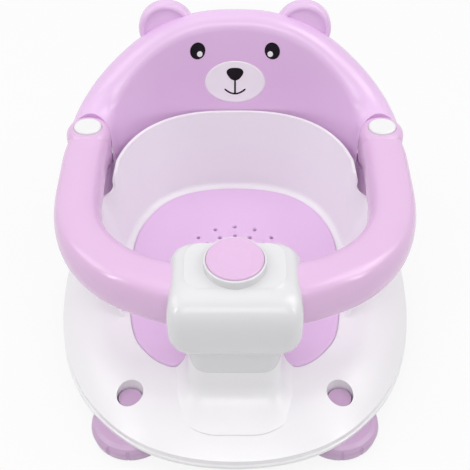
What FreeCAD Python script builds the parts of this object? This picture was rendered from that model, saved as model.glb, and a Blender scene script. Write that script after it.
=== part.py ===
import FreeCAD, Part
import math
import os
import re
import types
import Sketcher

# Baby bath seat. Origin on the floor under the middle of the base, +X to the right as
# seen from the front, +Y to the backrest, +Z up. Left pieces are at -X. Millimetres.

Vector = FreeCAD.Vector
UP = Vector(0, 0, 1)
os.makedirs("parts", exist_ok=True)
doc = FreeCAD.newDocument("BathSeat")

SIZES = [
    ("wall", 2.6, "moulded wall of every shell"),
    ("gap", 0.3, "running clearance between moving pieces"),
    # base
    ("base_half_width", 165, "rim at its widest"),
    ("base_reach", 192, "rim from the origin to the front and to the rear"),
    ("base_widest_y", 8, "place of the widest line"),
    ("base_power", 2.25, "roundness of the rim outline"),
    ("deck_power", 2.6, "roundness of the deck's inner outline"),
    ("rim_bottom", 20, "lower edge of the rim"),
    ("rim_height", 9.5, "upright band of the rim"),
    ("rim_bead", 1.2, "bead round the lower edge of the rim"),
    ("deck_height", 52, "deck at the tub and tub floor"),
    ("deck_margin", 10, "flat of the deck outside the tub"),
    ("deck_fullness", 2.5, "how full the deck is towards the rim"),
    ("deck_front_y", -106, "front end of the deck's flat"),
    ("rib_depth", 14, "stiffening ribs under the floor"),
    # tub
    ("tub_half_width", 106, "tub at its floor"),
    ("tub_front_y", -118, "front of the tub floor outline"),
    ("tub_rear_y", 133.5, "rear of the tub floor outline"),
    ("tub_widest_y", 20, "where the tub is widest"),
    ("tub_power", 2.45, "roundness of the tub outline at the rear"),
    ("tub_front_power", 3.4, "roundness of the tub outline at the front"),
    ("tub_top", 144, "upper edge of the rear tub wall"),
    ("tub_flare", 8, "how much wider the rear wall is at the top"),
    ("tub_lean", 6.5, "how far the rear wall leans back"),
    ("tub_cove", 5, "hollow round between floor and wall"),
    ("side_wall_height", 119, "upper end of the sloping side wall"),
    ("side_wall_flare", 20, "how much wider the side wall is at that height"),
    ("side_wall_rear_y", 54, "where the side wall meets the rear wall"),
    ("side_wall_front_y", -48, "where the side wall has run down to the deck"),
    ("tub_shoulder", 17, "round of the rear wall's upper front corner"),
    ("tub_turn", 8, "hollow round between rear wall and side wall"),
    # column
    ("column_half_width", 40.5, "front column"),
    ("column_front_y", -139, "front face of the column"),
    ("column_rear_y", -79, "rear face of the column"),
    ("column_corner", 13, "corner radius of the column"),
    ("column_top", 85, "seat of the latch post, under the guard's chin"),
    ("column_shoulder", 107, "top of the column beside the chin"),
    ("chin_corner", 17, "round of the chin's lower corners"),
    ("chin_inset", 1.5, "chin inside the column's sides"),
    ("flare_sink", 2, "spread foot under the deck"),
    ("flare_tilt", 7.5, "lower edge of the spread foot dips to the front, degrees"),
    ("flare_power", 4, "how closely the spread foot hugs the deck"),
    ("flare_height", 25, "height of the column's spread foot"),
    ("flare_front", 34, "forward reach of the spread foot"),
    ("flare_side", 17, "sideways reach of the spread foot"),
    # pad
    ("pad_margin", 6, "pad inside the tub floor"),
    ("pad_seat", 4, "depth of the recess that holds the pad"),
    ("pad_thickness", 6.5, "pad at its edge"),
    ("pad_dish", 2.5, "hollow of the pad's middle"),
    ("pad_round", 2.2, "rounded upper edge of the pad"),
    ("pad_corner", 12, "rounded front corners beside the column"),
    ("pad_notch", 3, "pad clear of the column's sides"),
    ("drain_bore", 4, "drain holes"),
    ("drain_y", 19.5, "centre of the drain circles"),
    ("drain_outer", 51, "radius of the outer drain circle"),
    ("drain_inner", 39, "radius of the inner drain circle"),
    ("drain_count", 16, "holes on each circle"),
    # feet
    ("foot_x", "=base_half_width - 72", "foot from the middle"),
    ("foot_front_y", "=53.5 - base_reach", "front feet"),
    ("foot_rear_y", "=base_reach - 53.5", "rear feet"),
    ("foot_radius", 36, "paw from above"),
    ("foot_bottom", 4, "lower edge of a paw"),
    ("foot_boss_radius", 10.5, "peg that stands in the deck socket"),
    ("foot_boss_top", 38, "top of the peg"),
    ("foot_boss_offset", 8.5, "peg from the foot's middle, towards the seat's middle"),
    ("toe_groove", 2.1, "radius of the grooves between the toes"),
    ("cup_radius", 27, "suction cup at its lip"),
    ("cup_height", 9, "top of the cup's dome"),
    ("cup_stud", 5, "radius of the cup's stud"),
    # backrest
    ("rim_end_x", 137.5, "guard and backrest rim from the middle"),
    ("rim_end_y", 83, "where the backrest rim meets the guard"),
    ("rim_rear_y", 169, "centre of the rim at the rear"),
    ("rim_power", 2.55, "roundness of the rim from above"),
    ("rim_end_z", 150, "centre of the rim at the guard"),
    ("rim_rear_z", 228, "centre of the rim at the rear"),
    ("rim_rise_power", 2.3, "how the rim climbs"),
    ("rim_end_radius", 20, "roll of the rim at the guard"),
    ("rim_rear_radius", 14, "roll of the rim at the rear"),
    ("shell_sag", 3.5, "how far the backrest's wall bows in at the rear"),
    ("shell_gap", 2.5, "backrest outside the tub wall"),
    ("ear_x", 65.5, "ear from the middle"),
    ("ear_z", 221, "centre of the ear"),
    ("ear_behind", 11, "ear behind the middle of the rim"),
    ("ear_radius", 26.5, "ear"),
    ("ear_thickness", 15, "ear"),
    ("ear_border", 5.5, "raised border round the sunk inner ear"),
    ("ear_recess_depth", 2, "sunk inner ear"),
    ("ear_lean", 13, "ear leans back, degrees"),
    ("pillar_radius", 19, "socket pillar at its top"),
    ("pillar_foot_x", 131, "pillar at the deck"),
    ("pillar_foot_radius", 13, "pillar at the deck"),
    # guard arms
    ("arm_widest_x", 141, "centre line of the arm at its widest"),
    ("arm_widest_y", 3, "where the arms are widest apart"),
    ("arm_front_y", -111, "arm centre line behind the head"),
    ("arm_power", 2.35, "roundness of the guard from above"),
    ("arm_rear_half_width", 20, "arm section at the backrest"),
    ("arm_front_half_width", 22, "arm section at the head"),
    ("arm_rear_half_height", 21.3, "arm section at the backrest"),
    ("arm_front_half_height", 23.5, "arm section at the head"),
    ("arm_section_power", 2.8, "roundness of the arm section"),
    ("arm_plug", 10, "arm inside the head"),
    ("boss_radius", 20.5, "round end of the arm"),
    ("boss_top", 172.4, "round end of the arm"),
    ("boss_bottom", 127.2, "round end of the arm"),
    ("boss_round", 9, "rounded edge of the arm's end"),
    # guard head
    ("head_half_width", 56, "head"),
    ("head_front_y", -153, "front of the head"),
    ("head_rear_y", -72, "rear of the head"),
    ("head_bottom", 112, "lower edge of the head"),
    ("head_top", 179.5, "top of the head"),
    ("head_corner", 14, "corner radius of the head"),
    ("neck_plug", 6, "neck inside the head"),
    ("bezel_radius", 26.4, "ring round the front button"),
    ("bezel_top", 187, "ring round the front button"),
    ("front_button_y", -102, "centre of the front button"),
    ("front_button_radius", 24.3, "front button"),
    ("front_button_top", 188.6, "edge of the front button"),
    ("front_button_dish", 2, "hollow of the front button"),
    # release buttons on the arms
    ("side_button_half_width", 13, "release button"),
    ("side_button_half_depth", 11.3, "release button"),
    ("side_button_top", 174.6, "release button"),
    ("button_flange", 1.6, "rim that keeps a button in"),
    # latches
    ("press_travel", 4, "way of each button"),
    ("nose_reach", 3.5, "nose inside the tongue's window"),
    ("slide_height", 4, "latch slide"),
    ("slide_half_width", 6, "latch slide"),
    ("slide_rear", 12, "rear end of a latch slide from the button's axis"),
    ("stem_half_width", 3.5, "button stem"),
    ("stem_back", 5, "button stem behind its axis"),
    ("tongue_near", 11.6, "tongue's near face from the button's axis"),
    ("tongue_thickness", 3.4, "tongue"),
    ("tongue_half_width", 8.5, "tongue"),
    ("front_slide_z", 150, "underside of the front latch slide"),
    ("side_slide_z", 140, "underside of the side latch slides"),
    ("spring_length", 12, "latch spring at rest"),
    ("spring_radius", 2.3, "latch spring to the wire's middle"),
    ("spring_wire", 0.8, "spring wire"),
    # screws
    ("screw_radius", 1.75, "screw shank"),
    ("screw_head_radius", 3.5, "screw head"),
    ("screw_head_height", 2.2, "screw head"),
    ("screw_slot", 0.9, "width and depth of the cross in a screw head"),
    ("screw_boss_radius", 4.5, "screw post"),
    ("post_flange_half_width", 20, "foot plate of the latch post"),
    ("post_screw_x", 14, "screws of the latch post"),
    ("post_screw_y", 16, "screws of the latch post from the column's middle"),
    ("backrest_screw_seat", 31, "lower face of the posts under the backrest's pillars"),
]

sheet = doc.addObject("Spreadsheet::Sheet", "Sizes")
for row, (alias, number, meaning) in enumerate(SIZES, start=1):
    sheet.set("A%d" % row, alias)
    sheet.set("B%d" % row, str(number))
    sheet.set("C%d" % row, meaning)
    sheet.setAlias("B%d" % row, alias)
doc.recompute()
S = types.SimpleNamespace(**{alias: float(sheet.get(alias)) for alias, number, meaning in SIZES})


# Small helpers for curves and solids

def mix(start, end, share):
    return start + (end - start) * share


def signed_power(value, power):
    return math.copysign(abs(value) ** power, value)


def smooth_ring(points):
    """Closed smooth curve, evenly parametrised so that lofted sections match."""
    curve = Part.BSplineCurve()
    marks = [step / len(points) for step in range(len(points) + 1)]
    curve.interpolate(Points=points, Parameters=marks, PeriodicFlag=True)
    return Part.Wire(curve.toShape())


def oval_points(half_width, front_y, rear_y, widest_y, power, z, count, front_power):
    points = []
    for step in range(count):
        angle = 2 * math.pi * step / count
        to_rear = math.sin(angle) > 0
        reach = rear_y - widest_y if to_rear else widest_y - front_y
        bend = 2 / (power if to_rear else front_power)
        x = half_width * signed_power(math.cos(angle), bend)
        y = widest_y + reach * signed_power(math.sin(angle), bend)
        points.append(Vector(x, y, z))
    return points


def oval(half_width, front_y, rear_y, widest_y, power, z, count=16):
    """Closed smooth outline with its own reach to the front and to the rear."""
    return smooth_ring(oval_points(half_width, front_y, rear_y, widest_y, power, z, count, power))


def arc_edge(start, through, end):
    return Part.Arc(start, through, end).toBSpline().toShape()


def rounded_rectangle(half_width, front_y, rear_y, corner, z):
    right = half_width - corner
    centres = [(right, rear_y - corner), (-right, rear_y - corner),
               (-right, front_y + corner), (right, front_y + corner)]
    rounds = []
    for quarter, (x, y) in enumerate(centres):
        turns = [math.radians(90 * quarter + part) for part in (0, 45, 90)]
        rounds.append([Vector(x + corner * math.cos(turn), y + corner * math.sin(turn), z) for turn in turns])
    edges = []
    for quarter, points in enumerate(rounds):
        edges.append(arc_edge(*points))
        edges.append(Part.LineSegment(points[2], rounds[(quarter + 1) % 4][0]).toShape())
    return Part.Wire(edges)


def loft(wires, ruled=False):
    return Part.makeLoft(wires, True, ruled)


def box(low, high):
    return Part.makeBox(high[0] - low[0], high[1] - low[1], high[2] - low[2], Vector(*low))


def rod(radius, x, y, bottom, top):
    return Part.makeCylinder(radius, top - bottom, Vector(x, y, bottom))


def mirrored(shape):
    return shape.mirror(Vector(0, 0, 0), Vector(1, 0, 0))


def side_profile(points, half_width):
    """Outline in the YZ plane made solid across the seat."""
    corners = [Vector(-half_width, y, z) for y, z in points]
    face = Part.Face(Part.makePolygon(corners + corners[:1]))
    return face.extrude(Vector(2 * half_width, 0, 0))


def along(path, count):
    """Evenly spaced points of a path with the level direction across it."""
    lengths = [0.0]
    for before, after in zip(path, path[1:]):
        lengths.append(lengths[-1] + before.distanceToPoint(after))
    picked = []
    place = 0
    for step in range(count):
        wanted = lengths[-1] * step / (count - 1)
        while place < len(path) - 2 and lengths[place + 1] < wanted:
            place += 1
        share = (wanted - lengths[place]) / (lengths[place + 1] - lengths[place])
        point = path[place] + (path[place + 1] - path[place]) * share
        ahead = path[place + 1] - path[place]
        across = Vector(ahead.y, -ahead.x, 0)
        across.normalize()
        picked.append((point, across))
    return picked


def feature(label, shape):
    """Moulded form that only surface functions can make."""
    item = doc.addObject("Part::Feature", label)
    item.Shape = shape
    item.Label = label
    return item


# Screws and their posts

def screw(x, y, seat, length, up=1):
    """Pan-head screw whose head seats at a level and whose shank goes up or down."""
    low, high = sorted((seat, seat + up * length))
    shank = rod(S.screw_radius, x, y, low, high)
    face = seat - up * S.screw_head_height
    low, high = sorted((seat, face))
    whole = shank.fuse(rod(S.screw_head_radius, x, y, low, high))
    low, high = face - S.screw_slot, face + S.screw_slot
    long, short = 0.7 * S.screw_head_radius, S.screw_slot / 2
    cross = box((x - long, y - short, low), (x + long, y + short, high))
    return whole.cut([cross, box((x - short, y - long, low), (x + short, y + long, high))])


def screw_post(x, y, bottom, top):
    return rod(S.screw_boss_radius, x, y, bottom, top)


def screw_hole(x, y, bottom, top):
    return rod(S.screw_radius, x, y, bottom, top)


# Base

def rim_top():
    return S.rim_bottom + S.rim_height


def base_outline(share, inset, z):
    """Outline from the rim, share 0, to the flat round the tub, share 1."""
    return oval(mix(S.base_half_width, S.tub_half_width + S.deck_margin, share) - inset,
                mix(-S.base_reach, S.deck_front_y, share) + inset,
                mix(S.base_reach, S.tub_rear_y + S.deck_margin, share) - inset,
                S.base_widest_y, mix(S.base_power, S.deck_power, share), z)


def deck_level(share):
    return mix(rim_top(), S.deck_height, 1 - (1 - share) ** S.deck_fullness)


def dome(inset, bottom):
    band = loft([base_outline(0, inset, bottom), base_outline(0, inset, rim_top() - inset)])
    shares = (0, 0.05, 0.2, 0.4, 0.6, 0.8, 1)
    deck = loft([base_outline(share, inset, deck_level(share) - inset) for share in shares])
    return band.fuse(deck)


def rim_bead():
    low, high = S.rim_bottom, S.rim_bottom + 2.5 * S.rim_bead
    return loft([base_outline(0, -S.rim_bead, low), base_outline(0, -S.rim_bead, high),
                 base_outline(0, 0, high + S.rim_bead)], ruled=True)


def flare_slope(y):
    """Outward slope of the tub's wall: more at the side walls than at the rear."""
    low, high = S.side_wall_rear_y - 13, S.side_wall_rear_y + 4
    share = min(1, max(0, (y - low) / (high - low)))
    share = share * share * (3 - 2 * share)
    return mix(S.side_wall_flare / (S.side_wall_height - S.deck_height),
               S.tub_flare / (S.tub_top - S.deck_height), share)


def tub_ring(inset, z, flared=True):
    """Outline of the tub at a level; the mat's outline keeps the floor's shape."""
    rise = z - S.deck_height if flared else 0
    lean = S.tub_lean * rise / (S.tub_top - S.deck_height)
    points = oval_points(S.tub_half_width + inset, S.tub_front_y - inset, S.tub_rear_y + lean + inset,
                         S.tub_widest_y, S.tub_power, z, 96 if flared else 16, S.tub_front_power)
    for point in points:
        point.x += signed_power(point.x / S.tub_half_width, 0.5) * rise * flare_slope(point.y)
    return smooth_ring(points)


def tub(inset):
    return loft([tub_ring(inset, z) for z in (S.deck_height - 3 * S.wall, S.tub_top + 1)], ruled=True)


def tub_space():
    """Room inside the tub wall, with the hollow round along its floor."""
    rings = []
    for rise in (0, 0.12, 0.35, 0.65, 1):
        short = 1 - math.sqrt(1 - (1 - rise) ** 2)
        rings.append(tub_ring(-S.tub_cove * short, S.deck_height + rise * S.tub_cove))
    return loft(rings).fuse(loft([rings[-1], tub_ring(0, S.tub_top + 1)], ruled=True))


def tub_walls():
    """Rear wall and the two side walls that run down to the deck, as one sweep."""
    far = S.base_reach
    rear_y = S.side_wall_rear_y
    floor = S.deck_height - 3 * S.wall

    def spot(y, z):
        return Vector(-far, y, z)

    def line(start, end):
        return Part.LineSegment(start, end).toShape()

    front_low = spot(S.side_wall_front_y, S.deck_height - 1)
    side_end = spot(rear_y - S.tub_turn, S.side_wall_height)
    halfway = spot(mix(front_low.y, side_end.y, 0.4), mix(S.deck_height, S.side_wall_height, 0.61))
    turn_end = spot(rear_y, S.side_wall_height + S.tub_turn)
    turn_middle = side_end + Vector(0, S.tub_turn * math.sqrt(0.5), S.tub_turn * (1 - math.sqrt(0.5)))
    shoulder = min(S.tub_shoulder, S.tub_top - turn_end.z)
    shoulder_low = spot(rear_y, S.tub_top - shoulder)
    shoulder_high = spot(rear_y + shoulder, S.tub_top)
    short = shoulder * (1 - math.sqrt(0.5))
    shoulder_middle = spot(rear_y + short, S.tub_top - short)
    edges = [Part.Arc(front_low, halfway, side_end).toShape(), Part.Arc(side_end, turn_middle, turn_end).toShape()]
    if (shoulder_low - turn_end).Length > S.gap:
        edges.append(line(turn_end, shoulder_low))
    else:
        shoulder_low = turn_end
    edges += [Part.Arc(shoulder_low, shoulder_middle, shoulder_high).toShape(),
              line(shoulder_high, spot(far, S.tub_top)), line(spot(far, S.tub_top), spot(far, floor)),
              line(spot(far, floor), spot(S.side_wall_front_y, floor)),
              line(spot(S.side_wall_front_y, floor), front_low)]
    side = Part.Face(Part.Wire(edges)).extrude(Vector(2 * far, 0, 0))
    return tub(S.wall).common(side).cut(tub_space())


def column(inset):
    """Front column with its foot spread into the deck."""
    top = S.column_shoulder - inset
    foot_z = S.deck_height - S.flare_sink - inset
    middle = (S.column_front_y + S.column_rear_y) / 2
    sections = []
    for rise in (1, 0.8, 0.6, 0.42, 0.26, 0.12, 0):
        spread = (1 - rise) ** S.flare_power
        z = foot_z + S.flare_height * rise
        ring = rounded_rectangle(
            S.column_half_width - inset + S.flare_side * spread,
            S.column_front_y + inset - S.flare_front * spread,
            S.column_rear_y - inset + spread,
            S.column_corner - inset + 30 * spread, z)
        ring.rotate(Vector(0, middle, z), Vector(1, 0, 0), S.flare_tilt * (1 - rise))
        sections.append(ring)
    sunk = sections[-1].copy()
    sunk.translate(Vector(0, 0, -4 * S.wall))
    shaft = loft([rounded_rectangle(S.column_half_width - inset, S.column_front_y + inset,
                                    S.column_rear_y - inset, S.column_corner - inset, z)
                  for z in (foot_z + S.flare_height, top)])
    return loft(sections).fuse([loft([sunk, sections[-1]], ruled=True), shaft])


def chin_form(clearance):
    """Rounded lower end of the guard's neck, seen from the front, made solid along Y."""
    half_width = S.column_half_width - S.chin_inset + clearance
    low = S.column_top + S.gap - clearance
    corner = S.chin_corner + clearance
    high = S.head_bottom + 2 * S.wall
    front = S.column_front_y - S.chin_corner
    short = corner * (1 - math.sqrt(0.5))

    def spot(x, z):
        return Vector(x, front, z)

    points = [spot(half_width, high), spot(half_width, low + corner), spot(half_width - corner, low),
              spot(corner - half_width, low), spot(-half_width, low + corner), spot(-half_width, high)]
    edges = [Part.LineSegment(points[0], points[1]).toShape(),
             Part.Arc(points[1], spot(half_width - short, low + short), points[2]).toShape(),
             Part.LineSegment(points[2], points[3]).toShape(),
             Part.Arc(points[3], spot(short - half_width, low + short), points[4]).toShape(),
             Part.LineSegment(points[4], points[5]).toShape(),
             Part.LineSegment(points[5], points[0]).toShape()]
    depth = S.column_rear_y - S.column_front_y + 2 * S.chin_corner
    return Part.Face(Part.Wire(edges)).extrude(Vector(0, depth, 0))


def mat_form(clearance, low, high):
    """Form of the seat mat from above, grown by a clearance, between two levels."""
    whole = loft([tub_ring(clearance - S.pad_margin, z, flared=False) for z in (low, high)], ruled=True)
    beside = S.column_half_width + S.pad_notch - clearance
    behind = S.column_rear_y + S.pad_notch - clearance
    notch = loft([rounded_rectangle(beside, S.tub_front_y - S.flare_front, behind, S.column_corner, z)
                  for z in (low - 1, high + 1)])
    form = whole.cut(notch)
    uprights = [edge for edge in form.Edges if abs(edge.BoundBox.ZLength - (high - low)) < S.gap
                and abs(abs(edge.BoundBox.Center.x) - beside) < S.gap]
    uprights.sort(key=lambda edge: edge.BoundBox.Center.y)
    return form.makeFillet(S.pad_corner + clearance, uprights[:2])


def foot_places():
    """Middle of each foot and the way from it to the seat's middle, along Y."""
    places = {}
    for side, x in (("left", -S.foot_x), ("right", S.foot_x)):
        places["front_" + side] = (x, S.foot_front_y, 1)
        places["rear_" + side] = (x, S.foot_rear_y, -1)
    return places


def foot_screw_places():
    places = []
    for x, y, inward in foot_places().values():
        toward = -math.copysign(1, x)
        places.append((x + toward * 17, y + inward * 16))
        places.append((x + toward * 22, y - inward * 2))
    return places


def drain_holes(bottom, top):
    holes = []
    count = int(S.drain_count)
    for radius in (S.drain_outer, S.drain_inner):
        for step in range(count):
            turn = 2 * math.pi * step / count
            holes.append(rod(S.drain_bore / 2, radius * math.cos(turn),
                             S.drain_y + radius * math.sin(turn), bottom, top))
    return holes


def backrest_screw_places():
    return [(S.pillar_foot_x, S.rim_end_y + 2), (-S.pillar_foot_x, S.rim_end_y + 2)]


def post_screw_places():
    middle = (S.column_front_y + S.column_rear_y) / 2
    return [(x, middle + y) for x in (-S.post_screw_x, S.post_screw_x) for y in (-S.post_screw_y, S.post_screw_y)]


def make_base():
    underside = S.rim_bottom - 1
    mat_floor = S.deck_height - S.pad_seat
    outer = dome(0, S.rim_bottom).fuse([column(0).cut(chin_form(S.gap)), tub_walls(), rim_bead()])
    hollow = dome(S.wall, underside).fuse(column(S.wall).cut(chin_form(S.gap + S.wall)))
    shell = outer.cut(hollow)
    above = S.deck_height + S.flare_height / 2
    shell = shell.fuse(mat_form(S.wall, mat_floor - S.wall, above).common(outer))
    shell = shell.cut(mat_form(S.gap, mat_floor, above + 1))
    inside = dome(S.wall / 2, S.rim_bottom).fuse(column(S.wall / 2).cut(chin_form(S.gap + S.wall / 2)))
    floor = mat_floor - S.wall / 2
    ribs = []
    for x in (-60, 60):
        ribs.append(box((x - 1, S.column_rear_y, floor - S.rib_depth), (x + 1, S.tub_rear_y, floor)))
    for y in (S.column_rear_y + 8, S.drain_y + S.drain_outer + 8):
        ribs.append(box((-S.tub_half_width, y - 1, floor - S.rib_depth), (S.tub_half_width, y + 1, floor)))
    posts = []
    holes = []
    for x, y, inward in foot_places().values():
        boss_y = y + inward * S.foot_boss_offset
        posts.append(rod(S.foot_boss_radius + 1.5 + S.wall, x, boss_y, S.rim_bottom, S.deck_height))
        holes.append(rod(S.foot_boss_radius + 1.5, x, boss_y, underside, S.deck_height + 1))
    for x, y in foot_screw_places():
        posts.append(screw_post(x, y, S.rim_bottom, S.deck_height))
        holes.append(screw_hole(x, y, underside, S.rim_bottom + 10))
    for x, y in backrest_screw_places():
        posts.append(screw_post(x, y, S.backrest_screw_seat, S.deck_height))
        holes.append(screw_hole(x, y, underside, S.deck_height))
    for x, y in post_screw_places():
        posts.append(screw_post(x, y, S.column_top - 16, S.column_top - S.wall / 2))
        holes.append(screw_hole(x, y, S.column_top - 14, S.column_top + 1))
    fittings = ribs[0].fuse(ribs[1:] + posts).common(inside)
    shell = shell.fuse(fittings)
    shell = shell.cut(Part.makeCompound(holes + drain_holes(underside, S.deck_height + 1)))
    return feature("seat_base", shell)


# Backrest

def rim_path(count=60):
    """Centre line of the rolled rim from its right end over the rear to its left end."""
    points = []
    for step in range(count + 1):
        angle = math.pi * step / count
        x = S.rim_end_x * signed_power(math.cos(angle), 2 / S.rim_power)
        y = mix(S.rim_end_y, S.rim_rear_y, abs(math.sin(angle)) ** (2 / S.rim_power))
        side = abs(x / S.rim_end_x)
        points.append(Vector(x, y, mix(S.rim_rear_z, S.rim_end_z, side ** S.rim_rise_power)))
    return points


def rim_radius(centre):
    return mix(S.rim_rear_radius, S.rim_end_radius, abs(centre.x / S.rim_end_x) ** 1.5)


def shell_foot(centre):
    """Point of the backrest's inner face on the deck, just outside the tub wall."""
    outside = S.wall + S.shell_gap
    half_width = S.tub_half_width + outside
    reach = S.tub_rear_y + outside - S.tub_widest_y
    share = min(abs(centre.x) / S.rim_end_x, 1)
    rim_turn = math.acos(share ** (S.rim_power / 2))
    start = math.asin(((S.rim_end_y - S.tub_widest_y) / reach) ** (S.tub_power / 2))
    turn = mix(start, math.pi / 2, rim_turn / (math.pi / 2))
    x = half_width * math.cos(turn) ** (2 / S.tub_power)
    return Vector(math.copysign(x, centre.x), S.tub_widest_y + reach * math.sin(turn) ** (2 / S.tub_power),
                  S.deck_height)


def backrest_section(centre, across):
    """Wall that runs up into a rim rolled over to the outside, as one closed outline."""
    outward = across
    if outward.dot(Vector(centre.x, centre.y - S.rim_end_y + 1, 0)) < 0:
        outward = outward * -1
    radius = rim_radius(centre)
    foot = shell_foot(centre)

    def around(degrees, distance):
        turn = math.radians(degrees)
        return centre + outward * (distance * math.cos(turn)) + UP * (distance * math.sin(turn))

    inner = radius - S.wall
    top_in = around(172, radius)
    top_out = around(172, inner)
    sag = S.shell_sag * (0.2 + 0.8 * (1 - abs(centre.x) / S.rim_end_x))
    middle_in = (foot + top_in) * 0.5 - outward * sag
    foot_out = foot + outward * S.wall
    middle_out = middle_in + outward * S.wall
    edges = [
        arc_edge(foot, middle_in, top_in),
        arc_edge(top_in, around(75, radius), around(-25, radius)),
        Part.LineSegment(around(-25, radius), around(-25, inner)).toShape(),
        arc_edge(around(-25, inner), around(75, inner), top_out),
        arc_edge(top_out, middle_out, foot_out),
        Part.LineSegment(foot_out, foot).toShape(),
    ]
    return Part.Wire(edges)


def ear(side):
    """Round ear with a raised border, standing behind the rolled rim and leaning back."""
    half = S.ear_thickness / 2
    disc = Part.makeCylinder(S.ear_radius, S.ear_thickness, Vector(0, half, 0), Vector(0, -1, 0))
    disc = disc.makeFillet(S.ear_thickness * 0.3, [edge for edge in disc.Edges if edge.Length > S.ear_radius])
    recess = Part.makeCylinder(S.ear_radius - S.ear_border, S.ear_recess_depth,
                               Vector(0, S.ear_recess_depth - half, 0), Vector(0, -1, 0))
    disc = disc.cut(recess)
    disc.rotate(Vector(0, 0, 0), Vector(1, 0, 0), -S.ear_lean)
    nearest = min(rim_path(), key=lambda point: abs(point.x - S.ear_x) - point.y / 1000)
    disc.translate(Vector(side * S.ear_x, nearest.y + S.ear_behind, S.ear_z))
    return disc


def rim_core(side):
    """Full round of the rim's last stretch, just inside its skin."""
    rings = []
    for centre, across in along(rim_path(), 15)[:4]:
        radius = rim_radius(centre) - S.wall / 2
        outward = across if across.x > 0 else across * -1
        ring = [centre + outward * (radius * math.cos(turn)) + UP * (radius * math.sin(turn))
                for turn in [math.pi * step / 4 for step in range(8)]]
        rings.append(smooth_ring(ring))
    core = loft(rings)
    return core if side > 0 else mirrored(core)


def pillar(side):
    """Tapered pillar under the end of the rim that the arm's end stands on."""
    top = S.boss_bottom - S.gap
    rings = []
    for share, radius, x in ((0, S.pillar_radius, S.rim_end_x), (0.3, S.pillar_radius * 0.97, S.rim_end_x),
                             (1, S.pillar_foot_radius, S.pillar_foot_x)):
        z = mix(top, S.rim_bottom + 8, share)
        ring = oval(radius, -radius, radius, 0, 2, z, 8)
        ring.translate(Vector(side * x, S.rim_end_y, 0))
        rings.append(ring)
    post = loft(rings)
    webs = []
    for y in (S.rim_end_y + S.wall, S.rim_end_y + S.pillar_foot_radius):
        foot = shell_foot(Vector(S.rim_end_x, S.rim_end_y, 0)).x + S.wall / 2
        rise = (top - S.deck_height) / (S.rim_end_z - S.deck_height)
        beside = mix(foot, S.rim_end_x - S.rim_end_radius + S.wall / 2, rise) - S.shell_sag * 0.2
        corners = [(foot, S.deck_height - 6), (foot, S.deck_height), (beside, top), (S.rim_end_x, top),
                   (S.pillar_foot_x, S.deck_height - 6)]
        points = [Vector(side * x, y, z) for x, z in corners]
        face = Part.Face(Part.makePolygon(points + points[:1]))
        webs.append(face.extrude(Vector(0, S.wall, 0)))
    return post.fuse(webs)


def tongue(side):
    near = S.rim_end_y + S.tongue_near
    window = S.gap + S.slide_height
    z = S.side_slide_z
    blade = box((-S.tongue_half_width, near, S.boss_bottom - 6),
                (S.tongue_half_width, near + S.tongue_thickness, z + window + 5))
    opening = box((-S.slide_half_width - S.gap, near - 1, z - S.gap),
                  (S.slide_half_width + S.gap, near + S.tongue_thickness + 1, z + window))
    blade = blade.cut(opening)
    top_edge = [edge for edge in blade.Edges
                if edge.CenterOfMass.z > z + window + 4.9 and edge.CenterOfMass.y < near + 0.1]
    blade = blade.makeChamfer(S.tongue_thickness * 0.6, top_edge)
    blade.translate(Vector(side * S.rim_end_x, 0, 0))
    return blade


def make_backrest():
    stations = along(rim_path(), 15)
    stations[0] = (stations[0][0], Vector(1, 0, 0))
    stations[-1] = (stations[-1][0], Vector(-1, 0, 0))
    shell = loft([backrest_section(centre, across) for centre, across in stations])
    scoop_radius = S.boss_radius + 2 * S.gap
    pieces = []
    scoops = []
    for side in (-1, 1):
        x = side * S.rim_end_x
        scoops.append(rod(scoop_radius, x, S.rim_end_y, S.boss_bottom - S.gap, S.boss_top + 20))
        cup = rod(scoop_radius + S.wall, x, S.rim_end_y, S.boss_bottom - S.gap - S.wall, S.boss_top + 20)
        pieces += [pillar(side), ear(side), cup.common(rim_core(side))]
    shell = shell.fuse(pieces).cut(Part.makeCompound(scoops))
    shell = shell.fuse([tongue(-1), tongue(1)])
    below = dome(0, S.rim_bottom)
    holes = [screw_hole(x, y, S.rim_bottom, S.deck_height + 12) for x, y in backrest_screw_places()]
    shell = shell.cut(below).cut(Part.makeCompound(holes))
    return feature("backrest", shell)


# Guard arms

def arm_path():
    """Centre line of the right arm from its round end to inside the head."""
    points = []
    for step in range(10):
        y = mix(S.rim_end_y, S.arm_widest_y, step / 10)
        spread = ((y - S.arm_widest_y) / (S.rim_end_y - S.arm_widest_y)) ** 2
        points.append(Vector(mix(S.arm_widest_x, S.rim_end_x, spread), y, S.rim_end_z))
    steps = 60
    for step in range(steps + 1):
        angle = math.pi / 2 * step / steps
        x = S.arm_widest_x * math.cos(angle) ** (2 / S.arm_power)
        y = S.arm_widest_y - (S.arm_widest_y - S.arm_front_y) * math.sin(angle) ** (2 / S.arm_power)
        if x < S.head_half_width - S.arm_plug:
            break
        points.append(Vector(x, y, S.rim_end_z))
    return points


def arm_section(centre, across, inset):
    share = (S.rim_end_y - centre.y) / (S.rim_end_y - S.arm_front_y)
    half_width = mix(S.arm_rear_half_width, S.arm_front_half_width, share) - inset
    half_height = mix(S.arm_rear_half_height, S.arm_front_half_height, share) - inset
    points = []
    count = 12
    for step in range(count):
        angle = 2 * math.pi * step / count
        points.append(centre + across * (half_width * signed_power(math.cos(angle), 2 / S.arm_section_power))
                      + UP * (half_height * signed_power(math.sin(angle), 2 / S.arm_section_power)))
    return smooth_ring(points)


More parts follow.
